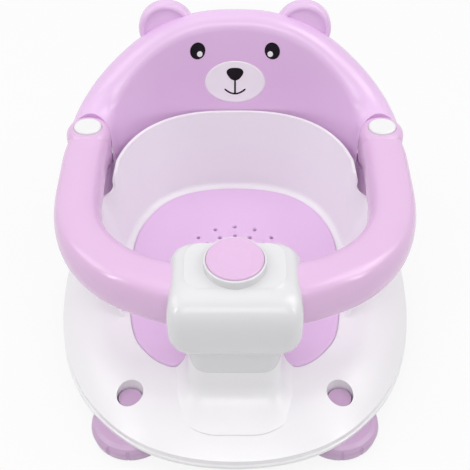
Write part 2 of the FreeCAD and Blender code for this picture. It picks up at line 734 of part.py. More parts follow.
def arm_form(inset):
    """Right arm with its upright round end, whole or as its hollow."""
    stations = along(arm_path(), 11)
    stations[0] = (stations[0][0], Vector(-1, 0, 0))
    tube = loft([arm_section(centre, across, inset) for centre, across in stations])
    boss = rod(S.boss_radius - inset, S.rim_end_x, S.rim_end_y, S.boss_bottom + inset, S.boss_top - inset)
    rings = [edge for edge in boss.Edges if edge.Length > S.boss_radius * 4]
    boss = boss.makeFillet(S.boss_round - inset / 2, rings)
    return tube.fuse(boss)


def arm_screw_places():
    path = arm_path()
    return [along(path, 7)[place][0] for place in (2, 5)]


def side_button_oval(clearance):
    """Upright oval solid through the top of the arm's end."""
    outline = Part.Ellipse(Vector(0, 0, 0), S.side_button_half_width + clearance,
                           S.side_button_half_depth + clearance)
    solid = Part.Face(Part.Wire(outline.toShape())).extrude(Vector(0, 0, 30))
    solid.translate(Vector(S.rim_end_x, S.rim_end_y, S.rim_end_z + 12))
    return solid


def cradle(half_height_z, base_z, slide_z, behind):
    """Guide of a latch slide in the frame of the latch: nose to -Y, spring to +Y."""
    outer = S.slide_half_width + S.gap + S.wall * 0.8
    rear = behind + S.spring_length + S.wall
    block = box((-outer, -S.tongue_near + 1, base_z), (outer, rear, half_height_z))
    channel = box((-S.slide_half_width - S.gap, -S.tongue_near - 1, slide_z - S.gap / 2),
                  (S.slide_half_width + S.gap, rear - S.wall, half_height_z + 1))
    below = box((-S.slide_half_width + 1, -S.tongue_near + 3, base_z - 1),
                (S.slide_half_width - 1, behind - 1, slide_z))
    return block.cut(channel).cut(below)


def make_arms():
    outside = arm_form(0)
    hollow = arm_form(S.wall)
    shell = outside.cut(hollow)
    reach = 400
    above = box((0, -reach, S.rim_end_z), (reach, reach, reach))
    upper = shell.common(above)
    lower = shell.cut(above)
    low = S.rim_end_z - S.arm_front_half_height
    high = S.rim_end_z + S.arm_front_half_height
    posts_up = []
    posts_down = []
    bores = []
    screws = []
    for point in arm_screw_places():
        posts_up.append(screw_post(point.x, point.y, S.rim_end_z, high))
        posts_down.append(screw_post(point.x, point.y, low, S.rim_end_z))
        seat = S.rim_end_z - 8
        bores.append(screw_hole(point.x, point.y, seat - 1, S.rim_end_z + 12))
        bores.append(rod(S.screw_head_radius + S.gap, point.x, point.y, low - 1, seat))
        screws.append(screw(point.x, point.y, seat, 18))
    upper = upper.fuse([post.common(outside) for post in posts_up])
    guide = cradle(S.side_slide_z + S.slide_height + 2, S.boss_bottom + S.wall / 2, S.side_slide_z,
                   S.slide_rear)
    guide.rotate(Vector(0, 0, 0), UP, 180)
    guide.translate(Vector(S.rim_end_x, S.rim_end_y, 0))
    lower = lower.fuse([post.common(outside) for post in posts_down] + [guide.common(outside)])
    near = S.rim_end_y + S.tongue_near - S.gap * 2
    socket = box((S.rim_end_x - S.tongue_half_width - 2 * S.gap, near, S.boss_bottom - 1),
                 (S.rim_end_x + S.tongue_half_width + 2 * S.gap,
                  near + S.tongue_thickness + 4 * S.gap, S.rim_end_z))
    lower = lower.cut(Part.makeCompound(bores + [socket]))
    upper = upper.cut(Part.makeCompound(bores + [side_button_oval(S.gap)]))
    for side, turned in (("left", mirrored), ("right", lambda shape: shape)):
        feature("arm_%s_upper_shell" % side, turned(upper))
        feature("arm_%s_lower_shell" % side, turned(lower))
    return outside, screws + [mirrored(item) for item in screws]


# Guard head

def head_form(inset):
    """Head as a rounded block, whole or as its hollow: shares of the height, then how
    far the sides, the front and the rear stand in from the widest section."""
    stations = [(0, 15, 12, 6), (0.09, 8, 7, 3), (0.23, 2, 2, 1), (0.48, 0, 0, 0),
                (0.72, 0, 2, 0), (0.86, 2, 7, 0.5), (0.95, 7, 16, 1.5), (1, 14, 26, 4)]
    bottom = S.head_bottom - inset / 10
    top = S.head_top - inset
    sections = []
    for share, sides, front, rear in stations:
        sections.append(rounded_rectangle(S.head_half_width - sides - inset, S.head_front_y + front + inset,
                                          S.head_rear_y - rear - inset, S.head_corner - inset,
                                          mix(bottom, top, share)))
    return loft(sections)


def head_screw_places():
    front = S.column_front_y + S.column_corner + 1
    rear = S.column_rear_y - S.column_corner + 2
    return [(x, y) for x in (-30, 30) for y in (front, rear)]


def make_head(arm_outside):
    outside = head_form(0)
    hollow = head_form(S.wall)
    bezel = rod(S.bezel_radius, 0, S.front_button_y, S.head_top - 10, S.bezel_top)
    rim_edge = [edge for edge in bezel.Edges if edge.CenterOfMass.z > S.bezel_top - 0.1]
    bezel = bezel.makeFillet(1, rim_edge)
    posts = [screw_post(x, y, S.head_bottom, S.head_top).common(outside) for x, y in head_screw_places()]
    shell = outside.fuse(bezel).cut(hollow).fuse(posts)
    bore = rod(S.front_button_radius + S.gap, 0, S.front_button_y, S.front_button_top - 20, S.bezel_top + 1)
    holes = [screw_hole(x, y, S.head_bottom - 1, S.head_bottom + 12) for x, y in head_screw_places()]
    tools = [bore, arm_outside, mirrored(arm_outside)] + holes
    for tool in tools:
        shell = shell.cut(tool)
    return feature("head_cover", shell)


def make_neck():
    """Lower plate of the head with the band below it and the guide of the front latch."""
    low = S.column_top + S.gap
    plate = S.head_bottom - S.wall
    front, rear = S.column_front_y, S.column_rear_y
    wide = S.column_half_width + 1
    above = box((-wide, front - 1, S.column_shoulder + S.gap), (wide, rear + 1, S.head_bottom + 1))

    def block(inset, bottom, top):
        return loft([rounded_rectangle(S.column_half_width - inset, front + inset, rear - inset,
                                       S.column_corner - inset, z) for z in (bottom, top)])

    band = block(0, low, S.head_bottom).common(chin_form(0).fuse(above))
    band = band.cut(block(S.wall, low - 1, plate).common(chin_form(-S.wall)))
    opening = box((-S.post_flange_half_width - 1, front + 2 * S.wall, low - 1),
                  (S.post_flange_half_width + 1, rear - 2 * S.wall, plate - 1))
    rim = block(S.wall + S.gap, S.head_bottom - 1, S.head_bottom + S.neck_plug)
    rim = rim.cut(block(2 * S.wall, S.head_bottom - 2, S.head_bottom + S.neck_plug + 1))
    guide = cradle(S.front_slide_z + S.slide_height + 2, S.head_bottom - 1, S.front_slide_z, S.slide_rear)
    guide.translate(Vector(0, S.front_button_y, 0))
    guide = guide.common(head_form(S.wall + S.gap))
    near = S.front_button_y - S.tongue_near + 2 * S.gap
    slot = box((-S.tongue_half_width - 2 * S.gap, S.column_front_y + 6, plate - 1),
               (S.tongue_half_width + 2 * S.gap, near, S.head_bottom + 20))
    holes = [screw_hole(x, y, plate - 1, S.head_bottom + 1) for x, y in head_screw_places()]
    neck = band.fuse([rim, guide]).cut(Part.makeCompound([slot, opening] + holes))
    return feature("head_neck", neck)


# Parametric bodies: sketches whose corners are bound to the sheet

ALIASES = {alias for alias, number, meaning in SIZES}


def sized(text):
    """Expression on the sheet's cells from one in plain alias names."""
    return re.sub(r"[a-z_]+", lambda word: "Sizes." + word.group(0) if word.group(0) in ALIASES
                  else word.group(0), text)


def place(item, x="0", y="0", z="0", turn=0):
    item.Placement = FreeCAD.Placement(Vector(0, 0, 0), FreeCAD.Rotation(UP, turn))
    for axis, text in (("x", x), ("y", y), ("z", z)):
        item.setExpression("Placement.Base." + axis, sized(text))


def new_body(label, x="0", y="0", z="0", turn=0):
    body = doc.addObject("PartDesign::Body", label)
    body.Label = label
    place(body, x, y, z, turn)
    return body


def new_sketch(body, role, level="0"):
    sketch = body.newObject("Sketcher::SketchObject", body.Name + "_sketch")
    plane = [item for item in body.Origin.OriginFeatures if item.Role == role][0]
    sketch.AttachmentSupport = [(plane, "")]
    sketch.MapMode = "FlatFace"
    sketch.setExpression("AttachmentOffset.Base.z", sized(level))
    return sketch


def bind(sketch, kind, geometry, point, text):
    number = sketch.addConstraint(Sketcher.Constraint(kind, -1, 1, geometry, point, 1.0))
    sketch.setExpression("Constraints[%d]" % number, sized(text))


def outline(sketch, corners):
    """Closed outline with every corner bound to the sheet."""
    count = len(corners)
    base = sketch.GeometryCount
    spots = [Vector(20 * math.cos(2 * math.pi * step / count), 20 * math.sin(2 * math.pi * step / count), 0)
             for step in range(count)]
    for step in range(count):
        sketch.addGeometry(Part.LineSegment(spots[step], spots[(step + 1) % count]))
    for step, (across, up) in enumerate(corners):
        sketch.addConstraint(Sketcher.Constraint("Coincident", base + step - 1 if step else base + count - 1, 2,
                                                 base + step, 1))
        bind(sketch, "DistanceX", base + step, 1, across)
        bind(sketch, "DistanceY", base + step, 1, up)
    return sketch


def circle(sketch, x, y, radius):
    number = sketch.addGeometry(Part.Circle(Vector(1, 1, 0), UP, 1))
    bind(sketch, "DistanceX", number, 3, x)
    bind(sketch, "DistanceY", number, 3, y)
    size = sketch.addConstraint(Sketcher.Constraint("Radius", number, 1.0))
    sketch.setExpression("Constraints[%d]" % size, sized(radius))


def pad(body, sketch, length, symmetric=False, cutting=False, reverse=False):
    kind = "PartDesign::Pocket" if cutting else "PartDesign::Pad"
    item = body.newObject(kind, body.Name + ("_pocket" if cutting else "_pad"))
    item.Profile = sketch
    item.SideType = "Symmetric" if symmetric else "One side"
    item.Reversed = reverse
    item.setExpression("Length", sized(length))
    return item


def revolve(body, sketch):
    item = body.newObject("PartDesign::Revolution", body.Name + "_turned")
    item.Profile = sketch
    item.ReferenceAxis = (sketch, ["V_Axis"])
    item.Angle = 360
    return item


# Feet and suction cups

def make_foot(label, x, y, inward):
    body = new_body(label, "foot_x" if x > 0 else "-foot_x", "foot_front_y" if inward > 0 else "foot_rear_y")
    profile = new_sketch(body, "XZ_Plane")
    outline(profile, [
        ("0", "rim_bottom"), ("foot_radius - 6", "rim_bottom"), ("foot_radius - 2.4", "rim_bottom - 2.2"),
        ("foot_radius - 0.6", "rim_bottom - 5.5"), ("foot_radius", "rim_bottom - 9"),
        ("foot_radius - 1.5", "foot_bottom"), ("foot_radius - 1.5 - wall", "foot_bottom"),
        ("foot_radius - 1.5 - wall", "rim_bottom - 2 * wall"), ("foot_radius - 3 * wall", "rim_bottom - wall"),
        ("cup_stud + wall", "rim_bottom - wall"), ("cup_stud + wall", "cup_height + 1"),
        ("cup_stud", "cup_height + 1"), ("cup_stud", "rim_bottom - 3"), ("0", "rim_bottom - 3")])
    revolve(body, profile)
    peg = new_sketch(body, "XY_Plane", "rim_bottom - 1")
    circle(peg, "0", "%d * foot_boss_offset" % inward, "foot_boss_radius")
    pad(body, peg, "foot_boss_top - rim_bottom + 1")
    toes = new_sketch(body, "XY_Plane", "foot_bottom - 1")
    outward = 270 if inward > 0 else 90
    lean = -1 if (x > 0) == (inward < 0) else 1
    for step in (0, 1):
        angle = outward + lean * (2 + 30 * step)
        circle(toes, "(foot_radius + 0.3) * cos(%d deg)" % angle, "(foot_radius + 0.3) * sin(%d deg)" % angle,
               "toe_groove")
    pad(body, toes, "rim_bottom", cutting=True, reverse=True)
    holes = new_sketch(body, "XY_Plane", "foot_bottom")
    for screw_x, screw_y in foot_screw_places():
        if math.copysign(1, screw_x) == math.copysign(1, x) and math.copysign(1, screw_y) == math.copysign(1, y):
            circle(holes, "%g" % (screw_x - x), "%g" % (screw_y - y), "screw_radius")
    pad(body, holes, "rim_bottom", cutting=True, reverse=True)
    return body


def make_cup(label, x, y, inward):
    body = new_body(label, "foot_x" if x > 0 else "-foot_x", "foot_front_y" if inward > 0 else "foot_rear_y")
    profile = new_sketch(body, "XZ_Plane")
    outline(profile, [
        ("cup_radius", "0"), ("cup_radius", "1.2"), ("cup_radius - 5", "3.6"), ("cup_radius - 12", "cup_height - 2"),
        ("cup_stud + 2", "cup_height"), ("cup_stud", "cup_height"), ("cup_stud", "rim_bottom - 3"),
        ("0", "rim_bottom - 3"), ("0", "cup_height - 3.5"), ("cup_stud + 4", "cup_height - 4.5"),
        ("cup_radius - 12", "cup_height - 5.6"), ("cup_radius - 5", "0")])
    revolve(body, profile)
    return body


# Latch post on the column, latch slides, buttons and springs

def make_post():
    body = new_body("latch_post", "0", "0", "column_top")
    flange = new_sketch(body, "XY_Plane")
    reach = "post_flange_half_width"
    outline(flange, [("-" + reach, "column_front_y + 7"), (reach, "column_front_y + 7"),
                     (reach, "column_rear_y - 7"), ("-" + reach, "column_rear_y - 7")])
    pad(body, flange, "wall")
    blade = new_sketch(body, "XZ_Plane", "-(front_button_y - tongue_near)")
    top = "front_slide_z + slide_height + gap + 5 - column_top"
    outline(blade, [("-tongue_half_width", "0"), ("tongue_half_width", "0"), ("tongue_half_width", top),
                    ("-tongue_half_width", top)])
    pad(body, blade, "tongue_thickness")
    rib = new_sketch(body, "YZ_Plane")
    root = "front_button_y - tongue_near - tongue_thickness"
    outline(rib, [("column_front_y + 10", "0"), (root + " + 1", "0"), (root + " + 1", "40"),
                  (root + " - 3", "40"), ("column_front_y + 10", "12")])
    pad(body, rib, "wall", symmetric=True)
    window = new_sketch(body, "XZ_Plane", "-(front_button_y - tongue_near + 1)")
    low = "front_slide_z - gap - column_top"
    high = "front_slide_z + slide_height + gap - column_top"
    outline(window, [("-slide_half_width - gap", low), ("slide_half_width + gap", low),
                     ("slide_half_width + gap", high), ("-slide_half_width - gap", high)])
    pad(body, window, "tongue_thickness + 2", cutting=True, reverse=True)
    ramp = new_sketch(body, "YZ_Plane")
    near = "front_button_y - tongue_near"
    outline(ramp, [(near + " + 1", top + " + 1"), (near + " - 3.2", top + " + 1"), (near + " + 1", top + " - 3.2")])
    pad(body, ramp, "4 * tongue_half_width", symmetric=True, cutting=True)
    holes = new_sketch(body, "XY_Plane")
    for x, y in post_screw_places():
        circle(holes, "%g" % x, "(column_front_y + column_rear_y) / 2 %+g"
               % (y - (S.column_front_y + S.column_rear_y) / 2), "screw_radius")
    pad(body, holes, "wall", cutting=True, reverse=True)
    return body


def latch_places():
    """Axis of each button, level of its slide, and the turn of its latch about +Z."""
    return {"front": ("0", "front_button_y", "front_slide_z", 0),
            "left": ("-rim_end_x", "rim_end_y", "side_slide_z", 180),
            "right": ("rim_end_x", "rim_end_y", "side_slide_z", 180)}


def make_slide(name):
    """Sliding latch: nose to its -Y, sloped slot for the button's stem, spring seat at +Y."""
    body = new_body(name + "_latch", *latch_places()[name])
    side = new_sketch(body, "YZ_Plane")
    outline(side, [("slide_rear", "0"), ("slide_rear", "slide_height"),
                   ("-tongue_near - nose_reach", "slide_height"),
                   ("-tongue_near - nose_reach", "slide_height * 0.55"),
                   ("-tongue_near - nose_reach + slide_height * 0.55", "0")])
    pad(body, side, "2 * slide_half_width", symmetric=True)
    slot = new_sketch(body, "YZ_Plane")
    half = "(slide_height + press_travel) / 2"
    outline(slot, [("-stem_back - press_travel - gap", "-1"), ("-" + half + " - 1 + gap", "-1"),
                   ("-" + half + " + slide_height + 1 + gap", "slide_height + 1"),
                   ("-stem_back - press_travel - gap", "slide_height + 1")])
    pad(body, slot, "2 * (stem_half_width + gap)", symmetric=True, cutting=True)
    return body


def add_stem(body, slide_z, top):
    """Stem under a button: its 45 degree slope pushes the slide back as the button goes down."""
    stem = new_sketch(body, "YZ_Plane")
    run = "(slide_height + press_travel)"
    outline(stem, [("-stem_back", top), ("-stem_back", slide_z), ("-" + run + " / 2", slide_z),
                   (run + " / 2", slide_z + " + " + run), (run + " / 2", top)])
    pad(body, stem, "2 * stem_half_width", symmetric=True)


def make_front_button():
    x, y, slide_z, turn = latch_places()["front"]
    body = new_body("front_button", x, y, "0", turn)
    cap = new_sketch(body, "XZ_Plane")
    edge = "front_button_top"
    under = "head_top - wall - gap"
    outline(cap, [("0", edge + " - front_button_dish"),
                  ("front_button_radius * 0.6", edge + " - front_button_dish * 0.72"),
                  ("front_button_radius - 3", edge + " - front_button_dish * 0.2"),
                  ("front_button_radius - 1.6", edge), ("front_button_radius - 0.5", edge + " - 0.4"),
                  ("front_button_radius", edge + " - 1.5"), ("front_button_radius", under + " - button_flange"),
                  ("front_button_radius - wall", under + " - button_flange"),
                  ("front_button_radius - wall", edge + " - front_button_dish - wall"),
                  ("0", edge + " - front_button_dish - wall")])
    revolve(body, cap)
    ears = new_sketch(body, "XY_Plane", under + " - button_flange")
    reach = "front_button_radius + button_flange"
    inner = "front_button_radius - wall * 0.6"
    for side in ("-", ""):
        outline(ears, [(side + "(" + inner + ")", "-8"), (side + "(" + reach + ")", "-8"),
                       (side + "(" + reach + ")", "8"), (side + "(" + inner + ")", "8")])
    pad(body, ears, "button_flange")
    add_stem(body, slide_z, edge + " - front_button_dish - wall / 2")
    return body


def make_side_button(name):
    """Oval button: an elliptic cap with a rounded top on a flange and a sloped stem."""
    x, y, slide_z, turn = latch_places()[name]
    under = "boss_top - wall - gap - 0.3 * boss_round"
    body = new_body(name + "_button_stem", x, y, "0", turn)
    add_stem(body, slide_z, under + " - button_flange / 2")
    flange = new_sketch(body, "XY_Plane", under + " - button_flange")
    reach = "side_button_half_width + button_flange"
    outline(flange, [("-(" + reach + ")", "-6"), (reach, "-6"), (reach, "6"), ("-(" + reach + ")", "6")])
    pad(body, flange, "button_flange")
    oval_line = doc.addObject("Part::Ellipse", name + "_oval")
    oval_line.setExpression("MajorRadius", sized("side_button_half_width"))
    oval_line.setExpression("MinorRadius", sized("side_button_half_depth"))
    place(oval_line, x, y, under + " - button_flange / 2")
    cap = doc.addObject("Part::Extrusion", name + "_cap")
    cap.Base = oval_line
    cap.Dir = UP
    cap.Solid = True
    cap.setExpression("LengthFwd", sized("side_button_top - (" + under + " - button_flange / 2)"))
    doc.recompute()
    rounded = doc.addObject("Part::Fillet", name + "_rounded")
    rounded.Base = cap
    top_edge = [number for number, edge in enumerate(cap.Shape.Edges, start=1)
                if edge.BoundBox.ZMin > S.side_button_top - 0.01]
    rounded.Edges = [(number, 2.2, 2.2) for number in top_edge]
    button = doc.addObject("Part::Fuse", name + "_release_button")
    button.Base = rounded
    button.Tool = body
    button.Label = name + "_release_button"
    return button


def make_spring(name):
    """Compression spring of hexagonal wire between a slide and the end of its guide."""
    x, y, z, turn = {"front": (0, S.front_button_y, S.front_slide_z, 0),
                     "left": (-S.rim_end_x, S.rim_end_y, S.side_slide_z, 180),
                     "right": (S.rim_end_x, S.rim_end_y, S.side_slide_z, 180)}[name]
    length = S.spring_length - S.spring_wire - 2 * S.gap / 3
    helix = Part.makeHelix(length / 4.5, length, S.spring_radius)
    corners = [Vector(S.spring_radius + S.spring_wire / 2 * math.cos(math.radians(60 * step)), 0,
                      S.spring_wire / 2 * math.sin(math.radians(60 * step))) for step in range(7)]
    wire = Part.Wire(helix).makePipeShell([Part.makePolygon(corners)], True, True)
    wire.rotate(Vector(0, 0, 0), Vector(1, 0, 0), -90)
    wire.translate(Vector(0, S.slide_rear + S.gap / 3 + S.spring_wire / 2, S.slide_height / 2 + 1.1))
    wire.rotate(Vector(0, 0, 0), UP, turn)
    wire.translate(Vector(x, y, z))
    return feature(name + "_latch_spring", wire)


# Pad and screws

def make_pad():
    low = S.deck_height - S.pad_seat
    high = low + S.pad_thickness
    mat = mat_form(0, low, high - S.pad_round)
    crown = loft([tub_ring(-S.pad_margin - shrink * S.pad_round, high - drop * S.pad_round, flared=False)
                  for shrink, drop in ((0, 1), (0.1, 0.55), (0.35, 0.2), (1, 0))])
    half_width = S.tub_half_width - S.pad_margin - S.pad_round
    radius = (half_width ** 2 + S.pad_dish ** 2) / (2 * S.pad_dish)
    hollow = Part.makeSphere(radius, Vector(0, S.drain_y, high - S.pad_dish + radius))
    mat = mat.fuse(crown.common(mat_form(0, high - S.pad_round, high + 1)))
    mat = mat.cut(hollow).cut(Part.makeCompound(drain_holes(low - 1, high + 1)))
    return feature("seat_pad", mat)


def make_screws(arm_screws):
    post_seat = S.column_top + S.wall
    plate = S.head_bottom - S.wall
    groups = {
        "foot_screws": [screw(x, y, S.rim_bottom - S.wall, 12) for x, y in foot_screw_places()],
        "backrest_screws": [screw(x, y, S.backrest_screw_seat, 22) for x, y in backrest_screw_places()],
        "post_screws": [screw(x, y, post_seat, 12, up=-1) for x, y in post_screw_places()],
        "head_screws": [screw(x, y, plate, 13) for x, y in head_screw_places()],
        "arm_screws": arm_screws,
    }
    for label, screws in groups.items():
        feature(label, Part.makeCompound(screws))


def check_and_write():
    doc.recompute()
    broken = [item.Name for item in doc.Objects if {"Invalid", "Error"} & set(item.State)]
    if broken:
        raise RuntimeError("these did not build: " + ", ".join(broken))
    nodes = [item for item in doc.Objects if item.Label in NODES]
    missing = sorted(set(NODES) - {item.Label for item in nodes})
    if missing:
        raise RuntimeError("these are missing: " + ", ".join(missing))
    for item in nodes:
        if item.Shape.isNull() or not item.Shape.isValid() or not item.Shape.Solids:
            raise RuntimeError(item.Label + " has no valid solid")
    for item in nodes:
        item.Shape.exportStep("parts/%s.step" % item.Label)


make_base()
make_backrest()
make_pad()
make_post()
for place_name, (foot_x, foot_y, foot_inward) in foot_places().items():
    make_foot("foot_" + place_name, foot_x, foot_y, foot_inward)
    make_cup("suction_cup_" + place_name, foot_x, foot_y, foot_inward)
right_arm, screws_in_arms = make_arms()
make_head(right_arm)
make_neck()
make_front_button()
for latch_name in latch_places():
    make_slide(latch_name)
    make_spring(latch_name)
for button_side in ("left", "right"):
    make_side_button(button_side)
make_screws(screws_in_arms)

NODES = (["seat_base", "backrest", "seat_pad", "latch_post", "head_cover", "head_neck", "front_button",
          "left_release_button", "right_release_button", "foot_screws", "backrest_screws", "post_screws",
          "head_screws", "arm_screws"]
         + ["foot_" + name for name in foot_places()] + ["suction_cup_" + name for name in foot_places()]
         + ["arm_%s_%s_shell" % (side, half) for side in ("left", "right") for half in ("upper", "lower")]
         + [name + ending for name in latch_places() for ending in ("_latch", "_latch_spring")])
check_and_write()
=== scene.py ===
import math
import bmesh
import bpy
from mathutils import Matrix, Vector
from mathutils.bvhtree import BVHTree


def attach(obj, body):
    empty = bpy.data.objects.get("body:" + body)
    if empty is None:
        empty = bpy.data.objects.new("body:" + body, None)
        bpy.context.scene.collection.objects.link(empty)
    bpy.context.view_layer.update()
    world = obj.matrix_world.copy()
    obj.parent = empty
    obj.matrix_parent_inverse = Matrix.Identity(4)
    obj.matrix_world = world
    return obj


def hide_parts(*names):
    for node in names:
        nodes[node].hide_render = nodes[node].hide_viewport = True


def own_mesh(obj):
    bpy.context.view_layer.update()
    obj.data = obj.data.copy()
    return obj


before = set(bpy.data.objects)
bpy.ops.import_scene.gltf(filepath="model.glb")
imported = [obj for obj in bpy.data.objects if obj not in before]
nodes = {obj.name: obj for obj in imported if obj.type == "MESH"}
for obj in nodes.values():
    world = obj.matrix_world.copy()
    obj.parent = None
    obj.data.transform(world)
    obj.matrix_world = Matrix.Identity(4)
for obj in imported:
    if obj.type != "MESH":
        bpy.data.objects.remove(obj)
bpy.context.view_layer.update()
mm = 0.001  # the frame is in metres


# a piece's object stays at the origin with its place in its mesh, and only lamps and camera are moved
def addObject(name, data):
    made = bpy.data.objects.new(name, data)
    bpy.context.scene.collection.objects.link(made)
    return made


# a CAD mesh is loose triangles, so its copy is joined up before it is shaped
def joinedCopy(node, name, gap):
    mesh = nodes[node].data.copy()
    mesh.name = name
    bm = bmesh.new()
    bm.from_mesh(mesh)
    bmesh.ops.remove_doubles(bm, verts=bm.verts, dist=gap * mm)
    bm.to_mesh(mesh)
    bm.free()
    return mesh


def addNode(tree, kind, spot, settings=None, values=None):
    node = tree.nodes.new(kind)
    node.location = spot
    for name, value in (settings or {}).items():
        setattr(node, name, value)
    for name, value in (values or {}).items():
        node.inputs[name].default_value = value
    return node


def feed(tree, source, socket):  # a plain number, or another node's output
    if isinstance(source, (int, float)):
        socket.default_value = source
    else:
        tree.links.new(source, socket)


def emptyTree(owner):
    owner.use_nodes = True
    owner.node_tree.nodes.clear()
    return owner.node_tree


def openGroup(name, inputs, outputs):
    tree = bpy.data.node_groups.new(name, "ShaderNodeTree")
    for label, kind in inputs:
        tree.interface.new_socket(name=label, in_out="INPUT", socket_type="NodeSocket" + kind)
    for label, kind in outputs:
        tree.interface.new_socket(name=label, in_out="OUTPUT", socket_type="NodeSocket" + kind)
    start = addNode(tree, "NodeGroupInput", (-900, 0))
    end = addNode(tree, "NodeGroupOutput", (700, 0))
    return tree, start.outputs, end.inputs


def noiseAt(tree, spot, vector, scale, detail, roughness=0.5):
    values = {"Detail": detail, "Roughness": roughness}
    noise = addNode(tree, "ShaderNodeTexNoise", spot, values=values)
    tree.links.new(vector, noise.inputs["Vector"])
    tree.links.new(scale, noise.inputs["Scale"])
    return noise.outputs["Fac"]


noiseSpan = (0.3, 0.7)  # where most of a noise texture's values lie


def remap(tree, spot, value, low, high, span=noiseSpan):
    values = {"From Min": span[0], "From Max": span[1]}
    node = addNode(tree, "ShaderNodeMapRange", spot, values=values)
    tree.links.new(value, node.inputs["Value"])
    feed(tree, low, node.inputs["To Min"])
    feed(tree, high, node.inputs["To Max"])
    return node.outputs["Result"]


def maths(tree, spot, operation, first, second):
    node = addNode(tree, "ShaderNodeMath", spot, {"operation": operation})
    feed(tree, first, node.inputs[0])
    feed(tree, second, node.inputs[1])
    return node.outputs["Value"]


def mixColors(tree, spot, share, first, second):
    node = addNode(tree, "ShaderNodeMix", spot, {"data_type": "RGBA"})
    tree.links.new(share, node.inputs["Factor"])
    tree.links.new(first, node.inputs["A"])
    tree.links.new(second, node.inputs["B"])
    return node.outputs["Result"]


# moulded plastic: pigment clouds, a gloss that varies a little, polish ripple and fine grain
skin = {"cloudDetail": 3.0, "glossDetail": 4.0, "glossRoughness": 0.6, "rippleDetail": 1.0,
        "grainDetail": 2.0}


def makeMouldedSkin():
    tree, start, end = openGroup(
        "mouldedSkin",
        [("Vector", "Vector"), ("Color", "Color"), ("Cloud Color", "Color"), ("Cloud Scale", "Float"),
         ("Grain Scale", "Float"), ("Ripple Scale", "Float"), ("Gloss Low", "Float"),
         ("Gloss High", "Float"), ("Grain Share", "Float")],
        [("Color", "Color"), ("Roughness", "Float"), ("Height", "Float")])
    vector = start["Vector"]
    clouds = noiseAt(tree, (-600, 300), vector, start["Cloud Scale"], skin["cloudDetail"])
    cloudShare = remap(tree, (-300, 300), clouds, 0.0, 1.0)
    color = mixColors(tree, (0, 300), cloudShare, start["Color"], start["Cloud Color"])
    polish = noiseAt(tree, (-550, -50), vector, start["Ripple Scale"],
                     skin["glossDetail"], skin["glossRoughness"])
    gloss = remap(tree, (-100, -50), polish, start["Gloss Low"], start["Gloss High"])
    ripple = noiseAt(tree, (-550, -350), vector, start["Ripple Scale"], skin["rippleDetail"])
    grain = noiseAt(tree, (-550, -550), vector, start["Grain Scale"], skin["grainDetail"])
    fine = maths(tree, (-200, -550), "MULTIPLY", grain, start["Grain Share"])
    tree.links.new(color, end["Color"])
    tree.links.new(gloss, end["Roughness"])
    tree.links.new(maths(tree, (100, -400), "ADD", ripple, fine), end["Height"])
    return tree


# soft mat: close cells that break up the light, with painted shade in their pits, and shallow dents where it
# has been pressed
foam = {"poreSpan": (0.05, 0.45), "roughness": (0.44, 0.56), "dentDetail": 2.0, "dentShare": 1.5}


def makeFoamCells():
    tree, start, end = openGroup(
        "foamCells",
        [("Vector", "Vector"), ("Color", "Color"), ("Pit Shade Color", "Color"), ("Cell Scale", "Float"),
         ("Dent Scale", "Float")],
        [("Color", "Color"), ("Roughness", "Float"), ("Height", "Float")])
    cells = addNode(tree, "ShaderNodeTexVoronoi", (-550, 200))
    tree.links.new(start["Vector"], cells.inputs["Vector"])
    tree.links.new(start["Cell Scale"], cells.inputs["Scale"])
    pores = remap(tree, (-250, 200), cells.outputs["Distance"], 0.0, 1.0, foam["poreSpan"])
    # darker towards each cell's middle, where its pit is deepest: painted shade in the pits
    color = mixColors(tree, (0, 300), pores, start["Pit Shade Color"], start["Color"])
    dents = noiseAt(tree, (-550, -200), start["Vector"], start["Dent Scale"], foam["dentDetail"])
    soft = maths(tree, (-100, -350), "MULTIPLY", dents, foam["dentShare"])
    tree.links.new(color, end["Color"])
    tree.links.new(remap(tree, (-100, -100), dents, *foam["roughness"]), end["Roughness"])
    tree.links.new(maths(tree, (150, -300), "ADD", soft, pores), end["Height"])
    return tree


mouldedSkin = makeMouldedSkin()
foamCells = makeFoamCells()


def newMaterial(name, group, groupValues, shaderValues, bumpDepth):
    material = bpy.data.materials.new(name)
    tree = emptyTree(material)
    out = addNode(tree, "ShaderNodeOutputMaterial", (600, 0))
    shader = addNode(tree, "ShaderNodeBsdfPrincipled", (300, 0), values=shaderValues)
    where = addNode(tree, "ShaderNodeTexCoord", (-700, 0))
    surface = addNode(tree, "ShaderNodeGroup", (-300, 0), {"node_tree": group}, groupValues)
    bumpValues = {"Strength": 1.0, "Distance": bumpDepth * mm}
    bump = addNode(tree, "ShaderNodeBump", (0, -300), values=bumpValues)
    tree.links.new(shader.outputs["BSDF"], out.inputs["Surface"])
    tree.links.new(where.outputs["Object"], surface.inputs["Vector"])
    tree.links.new(surface.outputs["Color"], shader.inputs["Base Color"])
    tree.links.new(surface.outputs["Roughness"], shader.inputs["Roughness"])
    tree.links.new(surface.outputs["Height"], bump.inputs["Height"])
    tree.links.new(bump.outputs["Normal"], shader.inputs["Normal"])
    return material


